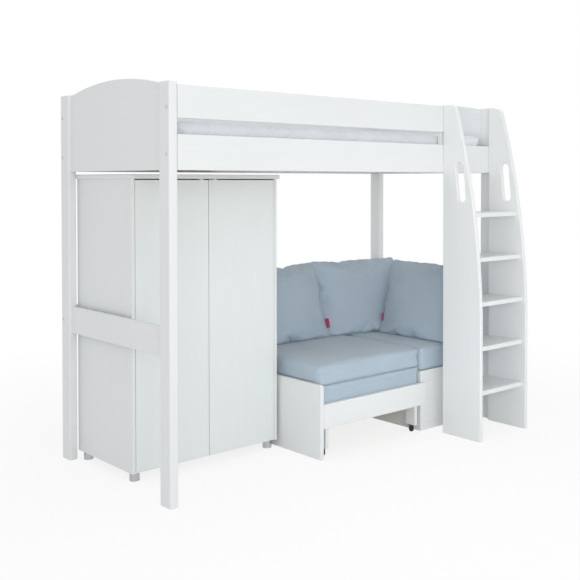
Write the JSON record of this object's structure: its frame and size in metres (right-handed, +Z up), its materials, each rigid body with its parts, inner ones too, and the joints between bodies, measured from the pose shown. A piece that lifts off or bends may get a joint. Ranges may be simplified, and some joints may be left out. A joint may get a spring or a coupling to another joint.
{
  "type": "loft bed",
  "caption": "White loft bed with a slanted-side ladder, a two-door wardrobe and a corner sofa whose slatted seat pulls out into a guest bed.",
  "frame": {"origin": "on the floor, under the middle of the whole outline in X and Y", "axes": "+X along the bed from the wardrobe to the ladder end, +Y from the ladder side to the back, +Z up"},
  "size_m": [2.132, 1.196, 1.7679],
  "materials": {
    "white_lacquer": "satin white lacquer",
    "door_lacquer": "matt white lacquer",
    "bare_wood": "planed",
    "zinc_steel": "zinc plated",
    "satin_aluminium": "satin",
    "pale_plastic": "matt",
    "grey_plastic": "matt",
    "black_plastic": "matt",
    "cushion_fabric": "woven",
    "mattress_fabric": "woven"
  },
  "bodies": {
    "root": {"back_cushion_corner": "cushion_fabric", "back_cushion_end": "cushion_fabric", "back_cushion_left": "cushion_fabric", "back_rail": "white_lacquer", "bed_bolts": "zinc_steel", "bed_slats": "bare_wood", "bolt_caps": "pale_plastic", "box_front_board": "white_lacquer", "box_top": "white_lacquer", "box_walls": "white_lacquer", "corner_cushion": "cushion_fabric", "end_board_left": "white_lacquer", "end_board_right": "white_lacquer", "end_rail_left": "white_lacquer", "end_rail_right": "white_lacquer", "guard_rail_back": "white_lacquer", "guard_rail_front": "white_lacquer", "guard_upright": "white_lacquer", "hanging_rail": "satin_aluminium", "hinge_arms": "zinc_steel", "ladder_side_left": "white_lacquer", "ladder_side_right": "white_lacquer", "ladder_treads": "white_lacquer", "latch_housings": "pale_plastic", "mattress": "mattress_fabric", "post_back_left": "white_lacquer", "post_back_right": "white_lacquer", "post_front_left": "white_lacquer", "post_front_right": "white_lacquer", "rail_sockets": "pale_plastic", "seat_bearers": "bare_wood", "seat_cushion_base": "cushion_fabric", "seat_end_panel": "white_lacquer", "seat_rear_rail": "white_lacquer", "seat_slats_fixed": "bare_wood", "side_rail_back": "white_lacquer", "side_rail_front": "white_lacquer", "slat_bearers": "bare_wood", "wardrobe_back": "white_lacquer", "wardrobe_feet": "satin_aluminium", "wardrobe_floor": "white_lacquer", "wardrobe_shelf": "white_lacquer", "wardrobe_side_left": "white_lacquer", "wardrobe_side_right": "white_lacquer", "wardrobe_top": "white_lacquer"},
    "door_left": {"wardrobe_door_left": "door_lacquer", "hinge_cups_left": "zinc_steel"},
    "door_right": {"wardrobe_door_right": "door_lacquer", "hinge_cups_right": "zinc_steel"},
    "latch_left": {"latch_plunger_left": "grey_plastic"},
    "latch_right": {"latch_plunger_right": "grey_plastic"},
    "pull_out": {"pull_out_apron": "white_lacquer", "pull_out_bars": "bare_wood", "pull_out_slats": "bare_wood", "pull_out_legs": "white_lacquer", "caster_forks": "black_plastic"},
    "caster_left": {"caster_wheel_left": "black_plastic"},
    "caster_right": {"caster_wheel_right": "black_plastic"},
    "seat_upper": {"seat_cushion_upper": "cushion_fabric"}
  },
  "joints": [
    {"name": "door_left_swing", "type": "hinge", "parent": "root", "child": "door_left", "pos_m": [-0.997, 0.03, 0.686], "axis": [0, 0, -1], "range_deg": [0, 90]},
    {"name": "door_right_swing", "type": "hinge", "parent": "root", "child": "door_right", "pos_m": [-0.219, 0.03, 0.686], "axis": [0, 0, 1], "range_deg": [0, 90]},
    {"name": "latch_left_push", "type": "slide", "parent": "root", "child": "latch_left", "axis": [0, 1, 0], "range_m": [0, 0.004], "stiffness_N_per_m": 800},
    {"name": "latch_right_push", "type": "slide", "parent": "root", "child": "latch_right", "axis": [0, 1, 0], "range_m": [0, 0.004], "stiffness_N_per_m": 800},
    {"name": "pull_out_slide", "type": "slide", "parent": "root", "child": "pull_out", "axis": [0, -1, 0], "range_m": [0, 0.62]},
    {"name": "caster_left_roll", "type": "hinge", "parent": "pull_out", "child": "caster_left", "pos_m": [-0.122, -0.2215, 0.014], "axis": [1, 0, 0], "range_deg": [0, 2540]},
    {"name": "caster_right_roll", "type": "hinge", "parent": "pull_out", "child": "caster_right", "pos_m": [0.511, -0.2215, 0.014], "axis": [1, 0, 0], "range_deg": [0, 2540]},
    {"name": "seat_fold", "type": "hinge", "parent": "root", "child": "seat_upper", "pos_m": [0.1945, -0.2505, 0.34415], "axis": [1, 0, 0], "range_deg": [0, 180]}
  ],
  "couplings": [
    {"joint": "caster_left_roll", "follows": "pull_out_slide", "rad_per_m": 71.429},
    {"joint": "caster_right_roll", "follows": "pull_out_slide", "rad_per_m": 71.429},
    {"joint": "seat_fold", "follows": "pull_out_slide", "rad_per_m": 5.067}
  ]
}
